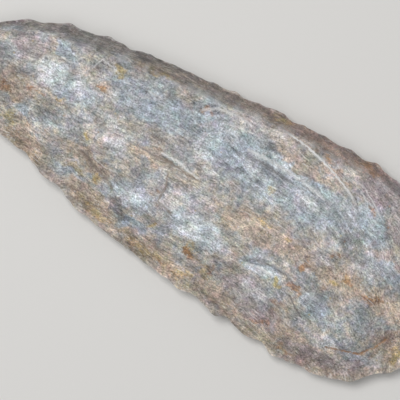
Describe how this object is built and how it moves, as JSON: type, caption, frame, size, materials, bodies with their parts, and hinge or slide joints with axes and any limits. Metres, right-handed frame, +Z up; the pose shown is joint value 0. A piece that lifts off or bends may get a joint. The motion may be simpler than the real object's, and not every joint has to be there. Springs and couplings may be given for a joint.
{
  "type": "flint blade",
  "caption": "Knapped flint blade with a steep retouched edge, a shallow scalloped edge and rippled flake scars, lying on its flatter side.",
  "frame": {"origin": "on the surface the blade lies on, under the middle of its outline", "axes": "+X along the blade to its broad end, +Y across it to the steep edge, +Z up out of the flaked face"},
  "size_m": [0.117, 0.0445, 0.0118],
  "materials": {
    "flint": "mottled blue-grey and tan stone with rust stains, dull to faintly waxy"
  },
  "bodies": {
    "root": {"flint_blade": "flint"}
  },
  "joints": []
}
